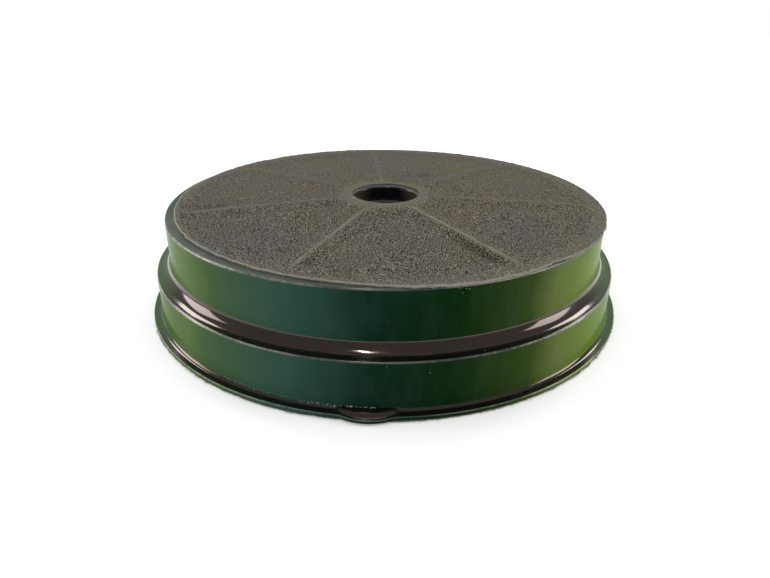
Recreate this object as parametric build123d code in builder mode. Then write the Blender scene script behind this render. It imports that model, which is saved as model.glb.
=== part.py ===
from build123d import *
from math import cos, hypot, radians, sin, sqrt
import os

# Round carbon filter for a cooker hood: a stepped plastic drum like a wheel, with a hub,
# seven spokes and a flange, filled with carbon granules and closed by a welded fleece on
# each face. Millimetres. +Z points at the open face that the air leaves by. The origin is
# on the hub's axis, in the plane that the filter lies on.

# Housing walls: the outside sizes give 210, 224 and 233 mm across
upper_wall_diameter = 210.0
shoulder_width = 7.0
flange_width = 4.2
upper_wall_height = 24.8
lower_wall_height = 20.1
flange_thickness = 1.7
wall_thickness = 2.0
wall_draft = 0.3
lip_width = 6.3
lip_thickness = 2.0

# Rounding of the wall's corners
flange_edge_round = 0.5
crease_fillet = 2.0
shoulder_round = 0.8
step_fillet = 3.8
step_inner_round = 3.0
lip_round = 0.9
small_round = 0.4

# Grip lug on the flange's edge
lug_width = 19.5
lug_reach = 2.1
lug_rise = 1.2
lug_slope = 60.0
lug_angle = 267.0
lug_blend = 6.0
lug_dome_round = 6.0

# Hub: a tube with a land for the fleece on top and a latch plate inside
socket_diameter = 31.0
collar_wall = 1.7
collar_step = 1.2
hub_draft = 0.5
crown_rise = 1.0
hub_land_width = 6.0
hub_land_thickness = 2.0
recess_step = 0.5
recess_depth = 7.5
recess_rim_round = 1.2
latch_plate_width = 4.0
latch_plate_thickness = 2.5
latch_notch_width = 6.0
latch_notch_inset = 0.7

# Spokes
rib_count = 7
rib_start_angle = 300.5
rib_top_thickness = 1.8
rib_foot_thickness = 1.2
rib_overlap = 1.0

# Fleece: pressed thin where it is welded, at its full thickness over the granules
weld_thickness = 0.8
weld_press = 0.3
fleece_thickness = 2.0
fleece_sag = 1.0
weld_margin = 0.8
field_rim = 1.2
field_taper = 25.0
field_corner_round = 5.0
top_fleece_inset = 2.1
top_fleece_shift = (2.1, 2.1)
top_fleece_hole_margin = 2.0
top_fleece_hole_shift = (0.6, 1.6)
bottom_fleece_inset = 0.4

# Play left between pieces
collar_clearance = 0.3
bed_clearance = 0.2

# Heights that follow from the sizes above
flange_underside = weld_thickness
flange_top = flange_underside + flange_thickness
shoulder_height = flange_top + lower_wall_height
lip_height = shoulder_height + upper_wall_height
lip_underside = lip_height - lip_thickness
land_height = lip_height + crown_rise
land_underside = land_height - hub_land_thickness
recess_floor = land_height - recess_depth
latch_plate_underside = recess_floor - latch_plate_thickness
field_surface = lip_height + weld_thickness - fleece_sag
bed_top = field_surface - fleece_thickness - bed_clearance
bed_foot = fleece_thickness + bed_clearance

# Radii that follow from the sizes above
upper_top_radius = upper_wall_diameter / 2
upper_foot_radius = upper_top_radius + wall_draft
lower_top_radius = upper_top_radius + shoulder_width
lower_foot_radius = lower_top_radius + wall_draft
crease_radius = lower_foot_radius + 1.5 * crease_fillet
flange_radius = lower_foot_radius + flange_width
lower_inner_top = lower_top_radius - wall_thickness
lower_inner_foot = lower_foot_radius - wall_thickness
upper_inner_top = upper_top_radius - wall_thickness
upper_inner_foot = upper_foot_radius - wall_thickness
lip_inner_radius = upper_top_radius - lip_width
socket_radius = socket_diameter / 2
collar_radius = socket_radius + collar_wall
hub_foot_radius = collar_radius + collar_step
hub_top_radius = hub_foot_radius + hub_draft
recess_radius = socket_radius + recess_step
latch_hole_radius = recess_radius - latch_plate_width
hub_land_radius = recess_radius + hub_land_width
rib_pitch = 360.0 / rib_count

# The lug is part of a circle through its two ends on the flange's edge and its tip
lug_half_width = lug_width / 2
lug_sagitta = flange_radius + lug_reach - sqrt(flange_radius**2 - lug_half_width**2)
lug_radius = (lug_half_width**2 + lug_sagitta**2) / (2 * lug_sagitta)
lug_centre_radius = flange_radius + lug_reach - lug_radius


def is_lug_corner(edge: Edge) -> bool:
    """True for the two upright edges where the lug leaves the flange's round rim."""
    tip_radius = flange_radius + lug_reach
    tip_x = tip_radius * cos(radians(lug_angle))
    tip_y = tip_radius * sin(radians(lug_angle))
    middle = edge.center()
    return lug_reach < hypot(middle.X - tip_x, middle.Y - tip_y) < lug_width


def field_outline(inner_radius: float, outer_radius: float, strip: float) -> Sketch:
    """The open fields between the spokes, as flat faces in the XY plane."""
    with BuildSketch() as fields:
        Circle(outer_radius)
        Circle(inner_radius, mode=Mode.SUBTRACT)
        with PolarLocations(outer_radius / 2, rib_count, start_angle=rib_start_angle):
            Rectangle(outer_radius, strip, mode=Mode.SUBTRACT)
        fillet(fields.vertices(), radius=field_corner_round)
    return fields.sketch


os.makedirs("parts", exist_ok=True)

# One spoke, along +X, thinner at the foot so that it leaves the mould downwards.
# It ends inside the hub's tube and inside the outer wall.
rib_inner_radius = hub_foot_radius - rib_overlap
rib_length = lower_inner_foot + rib_overlap - rib_inner_radius
rib_middle_radius = rib_inner_radius + rib_length / 2

with BuildPart() as rib:
    with BuildSketch(Plane.XY.offset(flange_underside)):
        with Locations((rib_middle_radius, 0)):
            Rectangle(rib_length, rib_foot_thickness)
    with BuildSketch(Plane.XY.offset(land_height)):
        with Locations((rib_middle_radius, 0)):
            Rectangle(rib_length, rib_top_thickness)
    loft()
    with BuildSketch(Plane.XZ):
        with BuildLine():
            Polyline(
                (rib_inner_radius, flange_underside),
                (lower_inner_foot + rib_overlap, flange_underside),
                (lower_inner_top + rib_overlap, shoulder_height - rib_overlap),
                (upper_inner_foot + rib_overlap, shoulder_height - rib_overlap),
                (upper_inner_top + rib_overlap, lip_underside + rib_overlap),
                (lip_inner_radius, lip_underside + rib_overlap),
                (lip_inner_radius, lip_height),
                (hub_land_radius, land_height),
                (hub_land_radius, land_underside + rib_overlap),
                (rib_inner_radius, land_underside + rib_overlap),
                close=True,
            )
        make_face()
    revolve(axis=Axis.Z, mode=Mode.INTERSECT)

# Dome on the grip lug, which runs up against the wall's foot
with BuildPart() as lug_dome:
    with BuildSketch(Plane.XY.offset(flange_top)):
        with PolarLocations(lug_centre_radius, 1, start_angle=lug_angle):
            Circle(lug_radius - flange_edge_round)
    extrude(amount=lug_rise, taper=lug_slope)
    fillet(lug_dome.edges().group_by(Axis.Z)[-1], radius=lug_dome_round)
    with BuildSketch(Plane.XY.offset(flange_top)):
        Circle(lower_foot_radius - wall_thickness / 2)
    extrude(amount=lug_rise, mode=Mode.SUBTRACT)

# Housing, moulded in one piece
with BuildPart() as housing:
    # Flange with the outline of the grip lug, blended into the rim
    with BuildSketch(Plane.XY.offset(flange_underside)):
        Circle(flange_radius)
        with PolarLocations(lug_centre_radius, 1, start_angle=lug_angle):
            Circle(lug_radius)
        Circle(lower_inner_foot, mode=Mode.SUBTRACT)
    extrude(amount=flange_thickness)
    fillet(housing.edges().filter_by(Axis.Z).filter_by(is_lug_corner), radius=lug_blend)
    fillet(housing.faces().sort_by(Axis.Z)[-1].outer_wire().edges(), radius=flange_edge_round)
    fillet(housing.faces().sort_by(Axis.Z)[0].outer_wire().edges(), radius=small_round)

    # Stepped outer wall with its inward lip
    with BuildSketch(Plane.XZ):
        with BuildLine():
            FilletPolyline(
                (lower_inner_foot, flange_underside),
                (crease_radius, flange_underside),
                (crease_radius, flange_top),
                (lower_foot_radius, flange_top),
                (lower_top_radius, shoulder_height),
                (upper_foot_radius, shoulder_height),
                (upper_top_radius, lip_height),
                (lip_inner_radius, lip_height),
                (lip_inner_radius, lip_underside),
                (upper_inner_top, lip_underside),
                (upper_inner_foot, shoulder_height - wall_thickness),
                (lower_inner_top, shoulder_height - wall_thickness),
                radius=[
                    0,
                    0,
                    0,
                    crease_fillet,
                    shoulder_round,
                    step_fillet,
                    lip_round,
                    0,
                    0,
                    0,
                    step_inner_round,
                    0,
                ],
                close=True,
            )
        make_face()
    revolve(axis=Axis.Z)

    # Hub tube with its fleece land, latch plate and the collar that passes the lower fleece
    with BuildSketch(Plane.XZ):
        with BuildLine():
            FilletPolyline(
                (socket_radius, 0),
                (collar_radius, 0),
                (collar_radius, flange_underside),
                (hub_foot_radius, flange_underside),
                (hub_top_radius, land_underside),
                (hub_land_radius, land_underside),
                (hub_land_radius, land_height),
                (recess_radius, land_height),
                (recess_radius, recess_floor),
                (latch_hole_radius, recess_floor),
                (latch_hole_radius, latch_plate_underside),
                (socket_radius, latch_plate_underside),
                radius=[0, 0, 0, 0, 0, 0, small_round, recess_rim_round, 0, 0, 0, 0],
                close=True,
            )
        make_face()
    revolve(axis=Axis.Z)

    # Notches that let the hood's twist-lock lugs through the latch plate
    with BuildSketch(Plane.XY.offset(recess_floor)):
        Rectangle(socket_diameter - 2 * latch_notch_inset, latch_notch_width)
    extrude(amount=-latch_plate_thickness, mode=Mode.SUBTRACT)

    # Spokes from the hub to the wall
    with PolarLocations(0, rib_count, start_angle=rib_start_angle):
        add(rib.part)

    add(lug_dome.part)

housing.part.label = "housing"
export_step(housing.part, "parts/housing.step")

# Loose carbon granules: one sector between two spokes, which keeps off the walls
rib_face_distance = rib_top_thickness + 2 * bed_clearance

with BuildPart() as carbon_bed:
    with BuildSketch(Plane.XZ):
        with BuildLine():
            Polyline(
                (hub_top_radius + bed_clearance, bed_foot),
                (lower_inner_foot - bed_clearance, bed_foot),
                (lower_inner_top - bed_clearance, shoulder_height - wall_thickness - bed_clearance),
                (upper_inner_top - bed_clearance, shoulder_height - wall_thickness - bed_clearance),
                (upper_inner_top - bed_clearance, bed_top),
                (hub_top_radius + bed_clearance, bed_top),
                close=True,
            )
        make_face()
    revolve(axis=Axis.Z, revolution_arc=rib_pitch)
    with BuildSketch(Plane.XY):
        with PolarLocations(flange_radius / 2, 2, angular_range=rib_pitch, endpoint=True):
            Rectangle(flange_radius, rib_face_distance)
    extrude(amount=land_height, mode=Mode.SUBTRACT)

for number in range(rib_count):
    bed = carbon_bed.part.rotate(Axis.Z, rib_start_angle + number * rib_pitch)
    bed.label = f"carbon_bed_{number + 1}"
    export_step(bed, f"parts/{bed.label}.step")

# Upper fleece: welded flat to the lip, the spokes and the hub's land, and dished over
# each field of granules. It was laid on a little off centre.
weld_strip = rib_top_thickness + 2 * weld_margin
field_inner_radius = hub_land_radius + weld_margin
field_outer_radius = lip_inner_radius - weld_margin
field_pad = field_outline(field_inner_radius, field_outer_radius, weld_strip)
field_dish = field_outline(
    field_inner_radius + field_rim,
    field_outer_radius - field_rim,
    weld_strip + 2 * field_rim,
)

with BuildPart() as top_fleece:
    add(Plane.XY.offset(land_height) * field_pad)
    extrude(amount=field_surface - fleece_thickness - land_height, taper=field_taper)
    with BuildSketch(Plane.XZ):
        with BuildLine():
            Polyline(
                (0, land_height),
                (hub_land_radius, land_height),
                (lip_inner_radius, lip_height),
                (flange_radius, lip_height),
                (flange_radius, lip_height + weld_thickness),
                (lip_inner_radius, lip_height + weld_thickness),
                (hub_land_radius, land_height + weld_thickness),
                (0, land_height + weld_thickness),
                close=True,
            )
        make_face()
    revolve(axis=Axis.Z)

    with BuildSketch(Plane.XZ):
        with BuildLine():
            Polyline(
                (0, land_height + weld_thickness),
                (hub_land_radius, land_height + weld_thickness),
                (lip_inner_radius, lip_height + weld_thickness),
                (flange_radius, lip_height + weld_thickness),
                (flange_radius, land_height + fleece_thickness),
                (0, land_height + fleece_thickness),
                close=True,
            )
        make_face()
    revolve(axis=Axis.Z, mode=Mode.SUBTRACT)
    add(Plane.XY.offset(land_height + weld_thickness) * field_dish)
    extrude(amount=field_surface - weld_thickness - land_height, taper=field_taper, mode=Mode.SUBTRACT)
    with BuildSketch(Plane.XY.offset(land_height + weld_thickness)):
        with Locations(top_fleece_shift):
            Circle(upper_top_radius - top_fleece_inset)
        with Locations(top_fleece_hole_shift):
            Circle(recess_radius + top_fleece_hole_margin, mode=Mode.SUBTRACT)
    extrude(amount=-land_height, mode=Mode.INTERSECT)

top_fleece.part.label = "top_fleece"
export_step(top_fleece.part, "parts/top_fleece.step")

# Lower fleece: welded under the flange, the spokes and the hub, where it is pressed in a
# little from below, and at its full thickness in each field
lower_weld_strip = rib_foot_thickness + 2 * weld_margin
lower_field_pad = field_outline(
    hub_foot_radius + weld_margin,
    lower_inner_foot - weld_margin,
    lower_weld_strip,
)

with BuildPart() as bottom_fleece:
    with BuildSketch(Plane.XY.offset(weld_press)):
        Circle(flange_radius - bottom_fleece_inset)
        Circle(collar_radius + collar_clearance, mode=Mode.SUBTRACT)
    extrude(amount=weld_thickness - weld_press)
    add(lower_field_pad)
    extrude(amount=fleece_thickness, taper=field_taper)

bottom_fleece.part.label = "bottom_fleece"
export_step(bottom_fleece.part, "parts/bottom_fleece.step")
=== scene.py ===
"""Round carbon filter for a cooker hood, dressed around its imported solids."""
import logging
import random
from collections.abc import Sequence
from dataclasses import dataclass, field
from enum import Enum
from math import asin, atan2, cos, degrees, hypot, pi, radians, sin, sqrt, tan

import bmesh
import bpy
from bmesh.types import BMEdge, BMesh, BMLayerItem, BMVert
from bpy.types import Material, NodeSocket, NodeTree, Object
from mathutils import Euler, Matrix, Vector, noise


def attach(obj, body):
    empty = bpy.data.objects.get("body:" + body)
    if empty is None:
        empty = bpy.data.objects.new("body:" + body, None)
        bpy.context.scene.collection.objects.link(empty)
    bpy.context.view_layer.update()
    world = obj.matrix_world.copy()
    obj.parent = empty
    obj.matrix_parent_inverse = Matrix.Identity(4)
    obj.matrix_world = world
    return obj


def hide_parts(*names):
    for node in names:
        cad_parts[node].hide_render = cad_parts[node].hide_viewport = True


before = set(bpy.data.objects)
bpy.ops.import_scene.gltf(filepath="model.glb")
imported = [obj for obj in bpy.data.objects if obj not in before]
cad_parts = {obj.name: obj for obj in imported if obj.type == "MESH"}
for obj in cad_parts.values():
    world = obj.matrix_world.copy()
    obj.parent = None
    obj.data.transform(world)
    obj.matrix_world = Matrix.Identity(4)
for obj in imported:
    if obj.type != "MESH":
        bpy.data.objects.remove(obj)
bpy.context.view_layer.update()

MM = 0.001
IMAGE_WIDTH = 770
SEED = 7
SECTORS = 24
POLYPROPYLENE_IOR = 1.49
# A colour Mix node takes its factor at 0 and its colours at 6 and 7, and gives them at 2
MIX_COLOUR = {"data_type": "RGBA", "output": 2}

Inputs = dict[str | int, object]

log = logging.getLogger("carbon_filter")


# Names and small helpers ------------------------------------------------------------------


class Slot(Enum):
    """The record's material slot names; no piece in this script takes them."""

    HOUSING = "housing_plastic"
    FLEECE = "fleece"


def linear(hex_colour: str) -> tuple[float, float, float, float]:
    """Turn a written sRGB colour into the linear values that a shader takes.

    Args:
        hex_colour: The colour as "#rrggbb".

    Returns:
        Red, green, blue and an alpha of 1.
    """
    values = []
    for start in (1, 3, 5):
        level = int(hex_colour[start : start + 2], 16) / 255
        values.append(level / 12.92 if level <= 0.04045 else ((level + 0.055) / 1.055) ** 2.4)
    return values[0], values[1], values[2], 1.0


def per_metre(size_mm: float) -> float:
    """Return the texture scale whose features are this many millimetres apart."""
    return 1000.0 / size_mm


def clamp(value: float, low: float = 0.0, high: float = 1.0) -> float:
    """Return the value kept between two limits."""
    return max(low, min(high, value))


def smoothstep(low: float, high: float, value: float) -> float:
    """Return 0 below low, 1 above high and a soft slope between."""
    t = clamp((value - low) / (high - low))
    return t * t * (3 - 2 * t)


def mix(first: float, second: float, share: float) -> float:
    """Return a point between two values."""
    return first + (second - first) * share


def soft_max(first: float, second: float, blend: float) -> float:
    """Return the larger of two values, with a rounded change from one to the other."""
    share = clamp(0.5 + 0.5 * (first - second) / blend)
    return mix(second, first, share) + blend * share * (1 - share)


def soft_min(first: float, second: float, blend: float) -> float:
    """Return the smaller of two values, with a rounded change from one to the other."""
    return -soft_max(-first, -second, blend)


def waves(x: float, y: float, size: float, layer: float = 0.0) -> float:
    """Smooth noise over the plane, from about -1 to 1.

    Args:
        x: Place along X in millimetres.
        y: Place along Y in millimetres.
        size: Distance between bumps in millimetres.
        layer: A different number gives a different pattern.

    Returns:
        The noise at that place.
    """
    return 1.6 * noise.noise(Vector((x / size, y / size, 7.3 + layer)))


def swell(x: float, y: float, parts: Sequence[tuple[float, float, float]]) -> float:
    """Return a sum of noises, each of a size, a distance in mm and a layer."""
    return sum(size * waves(x, y, apart, layer) for size, apart, layer in parts)


def around(angle: float, layer: float, count: float) -> float:
    """Noise round a circle, the same at 0 and 360 degrees.

    Args:
        angle: Angle in radians.
        layer: A different number gives a different pattern.
        count: About how many bumps there are round the circle.

    Returns:
        The noise at that angle, from about -1 to 1.
    """
    ring = count / (2 * pi)
    return 1.6 * noise.noise(Vector((ring * cos(angle), ring * sin(angle), layer)))


def sockets(first: int, *values: object) -> Inputs:
    """Return the values as inputs for a node's sockets from this number on."""
    return {first + index: value for index, value in enumerate(values)}


def ragged_edge(
    angle: float, ripples: Sequence[tuple[float, float, float]], start: float = 0.0
) -> float:
    """Return how far a cut edge stands out from its outline.

    Args:
        angle: Angle in radians.
        ripples: The size in millimetres, layer and count of each noise that is added.
        start: How far it stands out without them.

    Returns:
        The distance in millimetres.
    """
    for size, layer, count in ripples:
        start += size * around(angle, layer, count)
    return start


def add_node(
    tree: NodeTree, kind: str, inputs: Inputs | None = None, output: str | int = 0,
    **settings: object,
) -> NodeSocket | None:
    """Add a shader node with its settings and links.

    Args:
        tree: The node tree that gets it.
        kind: The node's type name, after "ShaderNode".
        inputs: Values for its sockets by name or number. A socket of another node is
            linked, and anything else is set as the socket's value.
        output: The wanted output's name or number.
        settings: The node's own properties.

    Returns:
        That output, or None if the node has no outputs.
    """
    node = tree.nodes.new("ShaderNode" + kind)
    for name, value in settings.items():
        setattr(node, name, value)
    for key, value in (inputs or {}).items():
        socket = node.inputs[key]
        if isinstance(value, NodeSocket):
            tree.links.new(value, socket)
        else:
            socket.default_value = value
    return node.outputs[output] if node.outputs else None


def set_ramp(ramp: NodeSocket, stops: Sequence[tuple[float, str]]) -> None:
    """Set a colour ramp's stops.

    Args:
        ramp: The colour ramp node's output.
        stops: Places from 0 to 1, each with a written sRGB colour.
    """
    elements = ramp.node.color_ramp.elements
    while len(elements) < len(stops):
        elements.new(0.5)
    for element, (place, colour) in zip(elements, stops):
        element.position = place
        element.color = linear(colour)


def start_material(name: str) -> tuple[Material, NodeTree, NodeSocket]:
    """Make a node material that holds only its place on the object.

    Args:
        name: The material's name.

    Returns:
        The material, its node tree and the Object coordinates.
    """
    material = bpy.data.materials.new(name)
    material.use_nodes = True
    tree = material.node_tree
    tree.nodes.clear()
    return material, tree, add_node(tree, "TexCoord", output="Object")


def coat(
    tree: NodeTree, under: object, over: str, pattern: NodeSocket,
    *limits: float, **settings: object,
) -> NodeSocket:
    """Lay a colour over another where a pattern is strong.

    Args:
        tree: The material's node tree.
        under: The colour underneath, as a socket or as values.
        over: The written sRGB colour that is laid over it.
        pattern: The pattern's values.
        limits: The values between which the coat grows, and its least and largest share
            if they aren't 0 and 1.
        settings: How it grows, as properties of the Map Range node.

    Returns:
        The mixed colour.
    """
    share = add_node(tree, "MapRange", {"Value": pattern, **sockets(1, *limits)}, **settings)
    return add_node(tree, "Mix", {0: share, 6: under, 7: linear(over)}, **MIX_COLOUR)


def end_material(tree: NodeTree, inputs: Inputs) -> None:
    """Add the surface shader and the output.

    Args:
        tree: The material's node tree.
        inputs: Values and links for the shader's sockets.
    """
    shader = add_node(tree, "BsdfPrincipled", inputs)
    add_node(tree, "OutputMaterial", {"Surface": shader})


def finish_mesh(
    mesh: BMesh, name: str, replaces: list[str],
    sharp_angle: float = 40.0,
) -> Object:
    """Turn a mesh in millimetres into a piece of the object.

    Args:
        mesh: The mesh, which is freed.
        name: The piece's name.
        replaces: The CAD nodes that it stands for.
        sharp_angle: Edges sharper than this many degrees show as creases.

    Returns:
        The piece, at the origin, in metres.
    """
    bmesh.ops.scale(mesh, vec=(MM, MM, MM), verts=mesh.verts)
    for face in mesh.faces:
        face.smooth = True
    for edge in mesh.edges:
        edge.smooth = not (
            len(edge.link_faces) == 2 and edge.calc_face_angle(0.0) > radians(sharp_angle)
        )
    data = bpy.data.meshes.new(name)
    mesh.to_mesh(data)
    mesh.free()
    piece = bpy.data.objects.new(name, data)
    bpy.context.scene.collection.objects.link(piece)
    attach(piece, "root")
    if replaces:
        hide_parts(*replaces)
    log.info("%s: %d faces", name, len(data.polygons))
    return piece


def draw_loop(
    mesh: BMesh, corners: list[tuple[float, float, float]], segments: int = 8,
) -> list[BMVert | BMEdge]:
    """Draw a closed outline in the XZ plane and round its corners.

    Args:
        mesh: The mesh that gets it.
        corners: Radius, height and rounding of each corner in millimetres.
        segments: Steps in each rounded corner.

    Returns:
        The outline's vertices and edges.
    """
    before = set(mesh.verts)
    verts = [mesh.verts.new((radius, 0.0, height)) for radius, height, _ in corners]
    for first, second in zip(verts, verts[1:] + verts[:1]):
        mesh.edges.new((first, second))
    total = len(corners)
    rounded = []
    for index, (radius, height, rounding) in enumerate(corners):
        if rounding:
            here = Vector((radius, height))
            back = Vector(corners[index - 1][:2]) - here
            ahead = Vector(corners[(index + 1) % total][:2]) - here
            half = back.angle(ahead) / 2
            rounded.append((verts[index], rounding / tan(half)))
    for vert, reach in rounded:
        bmesh.ops.bevel(
            mesh, geom=[vert], offset=reach, offset_type="OFFSET", segments=segments,
            profile=0.5, affect="VERTICES", material=-1,
        )
    new = [vert for vert in mesh.verts if vert not in before]
    # A dict keeps the edges' order, which a set changes from run to run
    return new + list(dict.fromkeys(edge for vert in new for edge in vert.link_edges))


def spin_full(
    mesh: BMesh, outline: list[BMVert | BMEdge], steps: int,
) -> None:
    """Spin an outline once round the Z axis and close it.

    The outline sweeps one sector, and the sector is then repeated round the axis, which
    takes far less time than one long spin.

    Args:
        mesh: A mesh that holds only the outline.
        outline: Its vertices and edges.
        steps: How many steps the turn has, a multiple of the sector count.
    """
    sector = 2 * pi / SECTORS
    spins = (
        (False, sector, steps // SECTORS, outline), (True, 2 * pi - sector, SECTORS - 1, None),
    )
    for repeat, angle, count, geometry in spins:
        bmesh.ops.spin(
            mesh, geom=geometry or [*mesh.verts, *mesh.edges, *mesh.faces], angle=angle,
            steps=count, use_merge=False, use_normal_flip=False, use_duplicate=repeat,
            cent=(0, 0, 0), axis=(0, 0, 1), dvec=(0, 0, 0),
        )
    bmesh.ops.remove_doubles(mesh, verts=mesh.verts, dist=0.001)
    bmesh.ops.recalc_face_normals(mesh, faces=mesh.faces)


def join_mesh(mesh: BMesh, part: BMesh) -> None:
    """Add a part's geometry to a mesh.

    Args:
        mesh: The mesh that gets it.
        part: The part, which is freed.
    """
    data = bpy.data.meshes.new("part")
    part.to_mesh(data)
    part.free()
    mesh.from_mesh(data)
    bpy.data.meshes.remove(data)


# Finishes ---------------------------------------------------------------------------------


class HousingFinish(Enum):
    """The housing's finishes, in the order of its material numbers."""

    WALL = 0
    LEDGE = 1
    EDGE = 2
    LIP = 3
    RECESS = 4
    PLATE = 5


@dataclass(frozen=True)
class WallPlastic:
    """Injection-moulded polypropylene in a deep bottle green, glossy from the mould."""

    name: str = "moulded_polypropylene_wall"
    # Body colour with painted light across X, from the left flank over the front to the right
    # flank: a dark front, a painted teal reflection at the front left and paler, yellower
    # painted light on both flanks
    colours: tuple[tuple[float, str], ...] = (
        (0.0, "#1f4724"), (0.07, "#35591c"), (0.15, "#5a7140"), (0.2, "#44603f"),
        (0.34, "#33564e"), (0.48, "#082d20"), (0.62, "#032708"), (0.74, "#31451a"),
        (0.8, "#64723c"), (0.88, "#667f28"), (0.94, "#5a7330"), (1.0, "#2b4d26"),
    )
    back: str = "#1d4226"
    dust: str = "#6c7a63"
    smear_and_reflection: str = "#57757a"
    roughness: float = 0.2
    specular: float = 0.02
    sheen: float = 0.3
    sheen_roughness: float = 0.45
    sheen_colour: str = "#9abd46"
    half_width_mm: float = 112.0
    back_from_mm: float = -42.0
    back_to_mm: float = 60.0
    cloud_mm: float = 30.0
    cloud_levels: tuple[float, float] = (0.3, 0.7)
    shift_mm: float = 3.0
    scuff_mm: float = 1.8
    scuff_stretch: float = 0.3
    scuff_levels: tuple[float, float] = (0.66, 0.84)
    scuff_share: float = 0.1
    smear_and_reflection_mm: float = 6.5
    smear_and_reflection_levels: tuple[float, float] = (0.45, 0.72)
    smear_and_reflection_share: float = 0.07
    rough_levels: tuple[float, float] = (0.4, 0.8)
    rough_spread: float = 0.08
    orange_peel_mm: float = 9.0
    peel_depth_mm: float = 0.15

    def material(self) -> Material:
        """Make the material.

        Returns:
            The node material.
        """
        # Deep green plastic straight from a polished mould: the eye gets a dark body
        # colour, soft reflections and a pale green bloom where the wall turns away.
        # Beside its front it is a paler, yellower green, as in the photo, and its back
        # is one plain green: the paler flanks, the teal at the front left and the dark
        # front are painted light in the colour. Hands have left faint upright smears on
        # it, bluish, which are partly a painted window reflection.
        material, tree, place = start_material(self.name)
        axes = add_node(tree, "SeparateXYZ", {0: place}).node.outputs
        upright = add_node(
            tree, "Mapping", {"Vector": place, "Scale": (1.0, 1.0, self.scuff_stretch)}
        )
        cloud, scuff, smear_and_reflection, peel = (
            add_node(
                tree, "TexNoise", {"Vector": vector, "Scale": per_metre(size), "Detail": detail}
            )
            for vector, size, detail in (
                (place, self.cloud_mm, 3.0), (upright, self.scuff_mm, 5.0),
                (upright, self.smear_and_reflection_mm, 3.0), (place, self.orange_peel_mm, 1.0),
            )
        )
        most, reach = self.shift_mm * MM, self.half_width_mm * MM
        shift = add_node(
            tree, "MapRange", {"Value": cloud, **sockets(1, *self.cloud_levels, -most, most)}
        )
        across = add_node(tree, "Math", {0: axes["X"], 1: shift}, operation="ADD")
        share = add_node(tree, "MapRange", {"Value": across, **sockets(1, -reach, reach)})
        # Painted light: the ramp across X holds the paler flanks, the teal front-left
        # reflection and the dark front
        ramp = add_node(tree, "ValToRGB", {"Fac": share})
        set_ramp(ramp, self.colours)
        limits = (self.back_from_mm * MM, self.back_to_mm * MM)
        # The back has one plain green, without the painted light of the front
        body = coat(tree, ramp, self.back, axes["Y"], *limits, interpolation_type="SMOOTHSTEP")
        dulled = coat(tree, body, self.dust, scuff, *self.scuff_levels, 0.0, self.scuff_share)
        # Bluish upright smears: hand smears that are partly a painted window reflection
        colour = coat(
            tree, dulled, self.smear_and_reflection, smear_and_reflection, *self.smear_and_reflection_levels, 0.0, self.smear_and_reflection_share
        )
        roughest = self.roughness + self.rough_spread
        rough = add_node(
            tree, "MapRange",
            {"Value": scuff, **sockets(1, *self.rough_levels, self.roughness, roughest)},
        )
        depth = self.peel_depth_mm * MM
        bump = add_node(tree, "Bump", {"Height": peel, "Distance": depth, "Strength": 0.5})
        end_material(tree, {
            "Base Color": colour, "Roughness": rough, "Normal": bump, "IOR": POLYPROPYLENE_IOR,
            "Specular IOR Level": self.specular, "Sheen Weight": self.sheen,
            "Sheen Roughness": self.sheen_roughness, "Sheen Tint": linear(self.sheen_colour),
        })
        return material


@dataclass(frozen=True)
class LedgePlastic:
    """The same moulding where it faces up, its near black a painted dark reflection, with grey
    dust settled on it.
    """

    name: str = "moulded_polypropylene_ledge"
    colour: str = "#110e10"
    tint: str = "#080c0b"
    flank: str = "#2f5527"
    dust: str = "#75726c"
    gleam: str = "#ffe4d4"
    roughness: float = 0.09
    specular: float = 0.85
    flank_from_mm: float = 86.0
    flank_to_mm: float = 100.0
    dust_mm: float = 0.7
    patch_mm: float = 16.0
    dust_levels: tuple[float, float] = (0.34, 0.46)
    dust_share: float = 0.1
    rough_levels: tuple[float, float] = (0.25, 0.45)
    rough_spread: float = 0.05

    def material(self) -> Material:
        """Make the material.

        Returns:
            The node material.
        """
        # Where the moulding faces up its near-black brown is a painted dark reflection,
        # with warm reflections from the shader; its two flanks keep the wall's green,
        # and a little grey dust lies on it.
        material, tree, place = start_material(self.name)
        patch, speck = (
            add_node(
                tree, "TexNoise", {"Vector": place, "Scale": per_metre(size), "Detail": detail}
            )
            for size, detail in ((self.patch_mm, 4.0), (self.dust_mm, 2.0))
        )
        # Painted dark reflection: the near-black colour and its tint
        shades = {6: linear(self.tint), 7: linear(self.colour)}
        middle = add_node(tree, "Mix", {0: patch, **shades}, **MIX_COLOUR)
        across = add_node(tree, "SeparateXYZ", {0: place}, "X")
        aside = add_node(tree, "Math", {0: across}, operation="ABSOLUTE")
        limits = (self.flank_from_mm * MM, self.flank_to_mm * MM)
        # Flank colour across X: the plastic's green on the ledges and lip; on the recess and
        # plate, painted light where their sides face the lamps
        body = coat(tree, middle, self.flank, aside, *limits)
        settled = add_node(tree, "Math", {0: speck, 1: patch}, operation="MULTIPLY")
        colour = coat(tree, body, self.dust, settled, *self.dust_levels, 0.0, self.dust_share)
        roughest = self.roughness + self.rough_spread
        rough = add_node(
            tree, "MapRange",
            {"Value": settled, **sockets(1, *self.rough_levels, self.roughness, roughest)},
        )
        end_material(tree, {
            "Base Color": colour, "Roughness": rough, "IOR": POLYPROPYLENE_IOR,
            "Specular IOR Level": self.specular, "Specular Tint": linear(self.gleam),
        })
        return material


# The bare lip, matt with grey-green dust rubbed into it
DUSTY_LIP = LedgePlastic(
    name="moulded_polypropylene_dusty_lip", colour="#54594f", tint="#333d37", flank="#29402e",
    dust="#9c9a8c", gleam="#ffffff", roughness=0.35, specular=0.25, flank_from_mm=92.0,
    flank_to_mm=102.0, patch_mm=9.0, dust_share=0.6,
)

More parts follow.
